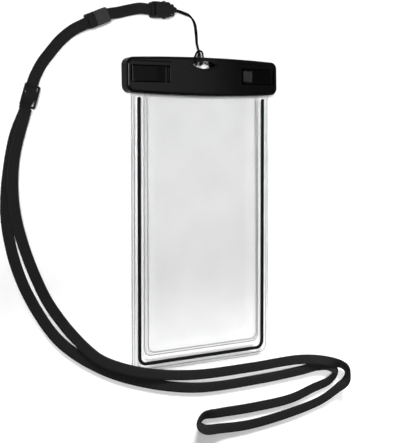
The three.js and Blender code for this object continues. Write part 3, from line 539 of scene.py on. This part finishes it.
def cloud(tree, scale, detail=2):
    """Soft noise over the piece. scale is about the number of its patches in a metre."""
    made = add_node(tree, "ShaderNodeTexNoise", {"Scale": scale, "Detail": detail})
    tree.links.new(add_node(tree, "ShaderNodeTexCoord").outputs["Object"], made.inputs["Vector"])
    return made.outputs["Fac"]


def surface_axes(tree):
    """The u and v that swept pieces and films keep in their "surface" layer."""
    split = add_node(tree, "ShaderNodeSeparateXYZ")
    tree.links.new(add_node(tree, "ShaderNodeUVMap", uv_map="surface").outputs["UV"], split.inputs[0])
    return split.outputs["X"], split.outputs["Y"]


def plastic(name, shades, roughness, specular, edge, grain=0.25):
    """Moulded plastic: a fine grain, softened edges and a slight change of tone and gloss across it."""
    smoothest, roughest = roughness
    material, tree, shader = new_material(name, shades[0], smoothest, specular)
    coloured(tree, shader, cloud(tree, scale=90), shades)
    gloss_change = ramp(tree, cloud(tree, scale=160, detail=3), [(0.3, smoothest), (0.7, roughest)])
    tree.links.new(gloss_change, shader.inputs["Roughness"])
    bumped(tree, shader, cloud(tree, scale=2600), strength=grain, distance=0.03 * MM, edge=edge)
    return material


def film_material(name, haze_and_shade, waviness):
    """Clear film. Its haze, its weld lines and the painted shade on the front pocket's sloping edge follow
    the distance from the film's edge, kept in u.
    """
    material, tree, shader = new_material(name, FILM_TINT, roughness=0.2, specular=0.08)
    from_edge, _ = surface_axes(tree)
    # the ramp holds the haze and, for the front film, the painted shade on the pocket's slope
    haze_and_shade = ramp(tree, from_edge, [(distance / HAZE_SPAN, opacity) for distance, opacity in haze_and_shade])
    patches = cloud(tree, scale=45, detail=3)
    patchy = maths(tree, "ADD", maths(tree, "MULTIPLY", patches, 0.5), 0.75)
    tree.links.new(maths(tree, "MULTIPLY", haze_and_shade, patchy), shader.inputs["Alpha"])
    bumped(tree, shader, cloud(tree, scale=70), strength=waviness, distance=2 * MM)
    material.surface_render_method = "BLENDED"
    return material


def weave_material():
    """Narrow woven webbing: cross ribs that step from one lengthwise column to the next. Its colour is
    painted shade in the grooves and painted light on the rib crests, with a random tone of the fibres.
    """
    material, tree, shader = new_material("woven_webbing", WEAVE_BLACK_AND_RIB_SHADE[0], roughness=0.8, specular=0.05)
    shader.inputs["Sheen Weight"].default_value = 0.025
    shader.inputs["Sheen Roughness"].default_value = 0.5
    along, aside = surface_axes(tree)
    across = maths(tree, "DIVIDE", aside, COLUMN)
    step = maths(tree, "MULTIPLY", maths(tree, "FLOOR", across), math.pi)
    phase = maths(tree, "ADD", maths(tree, "MULTIPLY", along, 2 * math.pi / RIB), step)
    ribs = maths(tree, "ADD", maths(tree, "MULTIPLY", maths(tree, "SINE", phase), 0.5), 0.5)
    columns = maths(tree, "ABSOLUTE", maths(tree, "SINE", maths(tree, "MULTIPLY", across, math.pi)))
    fibres = maths(tree, "MULTIPLY", cloud(tree, scale=5200), 0.35)
    height = maths(tree, "ADD", maths(tree, "MULTIPLY", ribs, columns), fibres)
    # painted shade: darker in the grooves, lighter on the ribs, plus a random fibre tone
    coloured(tree, shader, maths(tree, "MULTIPLY", height, 0.8), WEAVE_BLACK_AND_RIB_SHADE)
    bumped(tree, shader, height, strength=0.7, distance=0.12 * MM)
    return material


def strand_material():
    """Thin twisted cord: its lay winds round it as it runs along. Its colour is painted shade in the lay's
    grooves, lighter on its crests.
    """
    material, tree, shader = new_material("twisted_strand", STRAND_BLACK_AND_LAY_SHADE[0], roughness=0.7, specular=0.04)
    along, aside = surface_axes(tree)
    turned = maths(tree, "MULTIPLY", aside, LAY_ACROSS)
    lay = maths(tree, "ADD", maths(tree, "MULTIPLY", along, LAY_ALONG), turned)
    twist = maths(tree, "ABSOLUTE", maths(tree, "SINE", lay))
    # painted shade following the lay: darker in its grooves, lighter on its crests
    coloured(tree, shader, twist, STRAND_BLACK_AND_LAY_SHADE)
    bumped(tree, shader, twist, strength=0.6, distance=0.08 * MM)
    return material


def strip_material():
    """Printed border strip: a soft black with a faint fine texture."""
    material, tree, shader = new_material("border_black", STRIP_BLACK[0], roughness=0.5, specular=0.04)
    coloured(tree, shader, cloud(tree, scale=900, detail=3), STRIP_BLACK)
    bumped(tree, shader, cloud(tree, scale=1800, detail=3), strength=0.3, distance=0.04 * MM)
    return material


def lay_cord(name, node, swept_cord, material):
    mesh, path = swept_cord
    piece = mesh_object(name, *mesh)
    piece.data.materials.append(material)
    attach(piece, "root")
    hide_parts(node)


weave = weave_material()
strand = strand_material()
for name, node, route, layers in (
    ("neck_webbing", "neck_strap", NECK_ROUTE, SINGLE_LAYER),
    ("doubled_webbing", "doubled_strap", DOUBLED_ROUTE, TWO_LAYERS),
    ("upper_webbing", "upper_strap", UPPER_ROUTE, SINGLE_LAYER),
):
    lay_cord(name, node, webbing(route, layers), weave)
lay_cord("hitch_strand", "hitch_cord", round_cord(STRAND_ROUTE), strand)


# Film surfaces, in millimetres
def smooth(t):
    t = min(max(t, 0), 1)
    return t * t * (3 - 2 * t)


def film_half_width(y):
    t = (FILM_TOP - y) / (FILM_TOP - FILM_BOTTOM)
    return FILM_HALF_WIDTH_MOUTH + (FILM_HALF_WIDTH_BOTTOM - FILM_HALF_WIDTH_MOUTH) * t


def margin_height(y):
    return MARGIN_AT_EXIT * min((y - FILM_BOTTOM) / (FILM_EXIT - FILM_BOTTOM), 1)


def film_inset(x, y):
    """Distance from the film's edge, in rings that all turn the bottom corners with the same radius."""
    side = film_half_width(y) - abs(x)
    bottom = y - FILM_BOTTOM
    bottom -= BOTTOM_EXTRA * smooth((bottom - STRIP_INSET) / (WELD_WIDTH + BOTTOM_EXTRA - STRIP_INSET))
    if abs(side - bottom) >= FILM_CORNER:
        return min(side, bottom)
    a, b = FILM_CORNER - side, FILM_CORNER - bottom
    return (math.sqrt(2 * FILM_CORNER**2 - (a - b) ** 2) - a - b) / 2


def pocket_share(x, y):
    return smooth((film_inset(x, y) - WELD_WIDTH) / POCKET_SLOPE) * smooth((FILM_EXIT - y) / MOUTH_SLOPE)


def ripple(x, y):
    heights = []
    for along_x, along_y, layer in (BROAD_RIPPLE, FINE_RIPPLE):
        heights.append(noise.noise(Vector((x * along_x, y * along_y, layer))))
    return heights[0] + FINE_RIPPLE_SHARE * heights[1]


def rear_underside(x, y):
    return margin_height(y) * (1 - pocket_share(x, y))


def front_underside(x, y):
    welded = margin_height(y) + FILM + FILM_GAP
    share = pocket_share(x, y)
    return welded + (POCKET_TOP - FILM - welded) * share + RIPPLE_HEIGHT * ripple(x, y) * share


def steps_between(stops, step):
    values = []
    for low, high in zip(stops, stops[1:]):
        count = max(1, round((high - low) / step))
        values += [low + (high - low) * k / count for k in range(count)]
    return [*values, stops[-1]]


def film_grid():
    """Columns as shares of the half width and rows as places along y, finest where the film bends."""
    half = FILM_HALF_WIDTH_MOUTH
    slope_end = WELD_WIDTH + POCKET_SLOPE
    insets = steps_between([0, EDGE_BAND], EDGE_STEP)
    insets += steps_between([SLOPE_START, WELD_WIDTH, slope_end], SLOPE_STEP)
    insets += steps_between([slope_end + MIDDLE_INSET, half], MIDDLE_STEP)[:-1]
    shares = [1 - inset / half for inset in insets]
    columns = [*[-share for share in shares], 0, *reversed(shares)]
    low = [FILM_BOTTOM + d for d in steps_between([0, FILM_CORNER, LOW_BAND], LOW_STEP)]
    mouth = FILM_EXIT - MOUTH_SLOPE - MOUTH_LEAD
    rows = [*low[:-1], *steps_between([FILM_BOTTOM + LOW_BAND, mouth, FILM_EXIT, FILM_TOP], ROW_STEP)]
    return columns, rows


def film_sheet(underside):
    """One closed film over the grid. u is the distance from the film's edge, for its haze and, on the front
    film, its painted shade.
    """
    columns, rows = film_grid()
    points, uvs = [], []
    for lift in (0, FILM):
        for y in rows:
            up = min(y - FILM_BOTTOM, FILM_CORNER)
            cut = FILM_CORNER - math.sqrt(FILM_CORNER**2 - (FILM_CORNER - up) ** 2)
            for share in columns:
                x = share * (film_half_width(y) - cut)
                points.append(Vector((x, y, underside(x, y) + lift)))
                uvs.append((max(film_inset(x, y), 0) / HAZE_SPAN, y / POUCH_LENGTH))
    across, layer = len(columns), len(rows) * len(columns)
    faces = []
    for r in range(len(rows) - 1):
        for c in range(across - 1):
            a = r * across + c
            b, d, e = a + 1, a + across, a + across + 1
            faces.append([a, d, e, b])
            faces.append([layer + a, layer + b, layer + e, layer + d])
        a, d = r * across, (r + 1) * across
        faces.append([a, layer + a, layer + d, d])
        a, d = a + across - 1, d + across - 1
        faces.append([a, d, layer + d, layer + a])
    end = (len(rows) - 1) * across
    for c in range(across - 1):
        faces.append([c, c + 1, layer + c + 1, layer + c])
        faces.append([end + c, layer + end + c, layer + end + c + 1, end + c + 1])
    return points, faces, uvs


def border_path(inset, bottom_inset, top, step):
    """A U round the pocket: down the left, along the bottom and up the right. Gives places and sides."""
    radius = FILM_CORNER
    low = FILM_BOTTOM + bottom_inset
    corner_y = low + radius
    half = film_half_width(corner_y) - inset
    corner = []
    for k in range(CORNER_STEPS + 1):
        angle = math.radians(-90 + 90 * k / CORNER_STEPS)
        outward = Vector((math.cos(angle), math.sin(angle)))
        corner.append((Vector((half - radius, corner_y)) + outward * radius, outward))
    bottom = [(Vector((x, low)), Vector((0, -1))) for x in steps_between([0, half - radius], step)[:-1]]
    side_rows = steps_between([corner_y, top], step)[1:]
    side = [(Vector((film_half_width(y) - inset, y)), Vector((1, 0))) for y in side_rows]
    right = bottom + corner + side
    left = [(Vector((-p.x, p.y)), Vector((-n.x, n.y))) for p, n in reversed(right[1:])]
    return left + right


def border_sweep(path, heights, section, haze_and_shade):
    centres = [Vector((p.x, p.y, z)) for (p, _), z in zip(path, heights)]
    sides = [Vector((n.x, n.y, 0)) for _, n in path]
    points, faces, _ = swept(centres, sides, [Vector((0, 0, 1))] * len(path), section)
    return points, faces, [(haze_and_shade, p.y / POUCH_LENGTH) for p in points]


def weld_bead(inset, width, height):
    """A raised line on the front film, further in along the bottom where it lies inside the weld."""
    bottom_inset = inset + (BOTTOM_EXTRA if inset > WELD_WIDTH else 0)
    path = border_path(inset, bottom_inset, FILM_EXIT, BEAD_STEP)
    heights = [front_underside(p.x, p.y) + FILM - SEAT for p, _ in path]
    angles = [math.pi * k / BEAD_SIDES for k in range(BEAD_SIDES + 1)]
    half_round = [(width / 2 * math.cos(a), height * math.sin(a)) for a in angles]
    return border_sweep(path, heights, half_round, inset / HAZE_SPAN)


def strip_cap(centre_x, top, base):
    """A half-round end with the strip's own profile."""
    around = CAP_STEPS + 1
    points = []
    for inset, height in STRIP_PROFILE:
        radius = STRIP_WIDTH / 2 - inset
        for k in range(around):
            angle = math.pi * k / CAP_STEPS
            x = centre_x + radius * math.cos(angle)
            y = top - CAP_OVERLAP + radius * math.sin(angle)
            points.append(Vector((x, y, base + height)))
    faces = []
    for level in range(len(STRIP_PROFILE) - 1):
        first = level * around
        last = first + CAP_STEPS
        for a in range(first, last):
            faces.append([a, a + 1, a + 1 + around, a + around])
        faces.append([last, first, first + around, last + around])
    highest = (len(STRIP_PROFILE) - 1) * around
    faces.append([highest + k for k in range(around)])
    faces.append([CAP_STEPS - k for k in range(around)])
    return points, faces, [(0, 0)] * len(points)


def border_strip():
    top = FILM_EXIT - STRIP_TOP_GAP
    path = border_path(STRIP_INSET, STRIP_INSET, top, STRIP_STEP)
    heights = [margin_height(p.y) + 2 * FILM + FILM_GAP + SEAT for p, _ in path]
    section = [(STRIP_WIDTH / 2 - inset, height) for inset, height in STRIP_PROFILE]
    section += [(-side, up) for side, up in reversed(section)]
    end_x = film_half_width(top) - STRIP_INSET
    caps = [strip_cap(x, top, heights[0]) for x in (-end_x, end_x)]
    return joined([border_sweep(path, heights, section, 0), *caps])


def dress(name, node, mesh, material):
    piece = mesh_object(name, *mesh)
    piece.data.materials.append(material)
    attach(piece, "root")
    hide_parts(node)


front_mesh = joined([film_sheet(front_underside), *[weld_bead(*bead) for bead in WELD_BEADS]])
front_clear = film_material("clear_film_front", FRONT_HAZE_AND_SLOPE_SHADE, 0.15)
rear_clear = film_material("clear_film_rear", REAR_HAZE, 0.1)
dress("front_clear_film", "front_film", front_mesh, front_clear)
dress("rear_clear_film", "rear_film", film_sheet(rear_underside), rear_clear)
dress("black_border_strip", "border_strip", border_strip(), strip_material())


# Finishes of the solids that stay; edge is the radius of their softened edges
gloss = plastic("gloss_black", JET, roughness=(0.1, 0.14), specular=0.028, edge=0.4 * MM, grain=0.1)
lever_gloss = plastic("lever_black", JET, roughness=(0.12, 0.16), specular=0.012, edge=0.3 * MM, grain=0.1)
matte = plastic("matte_black", MOULDED_BLACK, roughness=(0.4, 0.52), specular=0.06, edge=0.25 * MM)
greyish = plastic("grey_black", MOULDED_GREY, roughness=(0.4, 0.52), specular=0.08, edge=0.25 * MM)
rubber = plastic("grey_rubber", RUBBER_GREY, roughness=(0.7, 0.8), specular=0.3, edge=0.2 * MM)

FINISHES = {
    "front_shell": gloss,
    "rear_shell": gloss,
    "left_lever": lever_gloss,
    "right_lever": lever_gloss,
    "front_seal_pad": rubber,
    "rear_seal_pad": rubber,
    "buckle_socket": matte,
    "buckle_plug": matte,
    "clasp_cap": matte,
    "clasp_body": greyish,
    "strap_slider": matte,
}
for name, material in FINISHES.items():
    nodes[name].material_slots[0].material = material


# Studio
def white_to_the_camera(tree, lit, unlit):
    """A strength of lit for what the camera and the reflections see, and unlit for the light itself."""
    path = add_node(tree, "ShaderNodeLightPath")
    seen = maths(tree, "MAXIMUM", path.outputs["Is Camera Ray"], path.outputs["Is Glossy Ray"])
    seen = maths(tree, "MAXIMUM", seen, path.outputs["Is Transmission Ray"])
    return maths(tree, "ADD", maths(tree, "MULTIPLY", seen, lit - unlit), unlit)


def add_world():
    world = bpy.data.worlds.new("studio")
    bpy.context.scene.world = world
    world.use_nodes = True
    tree = world.node_tree
    background = tree.nodes["Background"]
    background.inputs["Color"].default_value = WHITE
    tree.links.new(white_to_the_camera(tree, CAMERA_WHITE, SKY_LIGHT), background.inputs["Strength"])


def add_floor():
    """A pale floor. Away from the part, where the lamps fade, it glows more to the camera."""
    signs = ((-1, -1), (1, -1), (1, 1), (-1, 1))
    corners = [(x * FLOOR_HALF, y * FLOOR_HALF, -FLOOR_DROP) for x, y in signs]
    floor = mesh_object("floor", corners, [[0, 1, 2, 3]])
    material, tree, shader = new_material("pale_floor", FLOOR_SHADE, roughness=0.9, specular=0)
    shader.inputs["Emission Color"].default_value = WHITE
    distance = add_node(tree, "ShaderNodeVectorMath", operation="LENGTH")
    tree.links.new(add_node(tree, "ShaderNodeTexCoord").outputs["Object"], distance.inputs[0])
    (near, near_glow), (far, far_glow) = FLOOR_GLOW_NEAR, FLOOR_GLOW_FAR
    limits = {"From Min": near, "From Max": far, "To Min": near_glow, "To Max": far_glow}
    glow = add_node(tree, "ShaderNodeMapRange", limits, interpolation_type="SMOOTHSTEP")
    tree.links.new(distance.outputs["Value"], glow.inputs["Value"])
    strength = maths(tree, "MULTIPLY", white_to_the_camera(tree, CAMERA_WHITE, 0), glow.outputs["Result"])
    tree.links.new(strength, shader.inputs["Emission Strength"])
    floor.data.materials.append(material)


def add_lamp(name, place, target, size, power, spread):
    """A rectangular soft lamp, turned to its target. It fans out to the angle of its spread."""
    data = bpy.data.lights.new(name, "AREA")
    data.shape = "RECTANGLE"
    data.size, data.size_y = size
    data.energy = power
    data.spread = math.radians(spread)
    lamp = bpy.data.objects.new(name, data)
    bpy.context.scene.collection.objects.link(lamp)
    lamp.location = place
    lamp.rotation_euler = (Vector(target) - Vector(place)).to_track_quat("-Z", "Y").to_euler()
    lamp.visible_camera = False
    lamp.visible_diffuse = name not in LAMPS_FOR_GLOSS_ONLY
    lamp.visible_glossy = name not in LAMPS_WITHOUT_GLOSS


add_world()
add_floor()
for name, settings in LAMPS.items():
    add_lamp(name, *settings)

bpy.context.scene.view_settings.view_transform = "Standard"
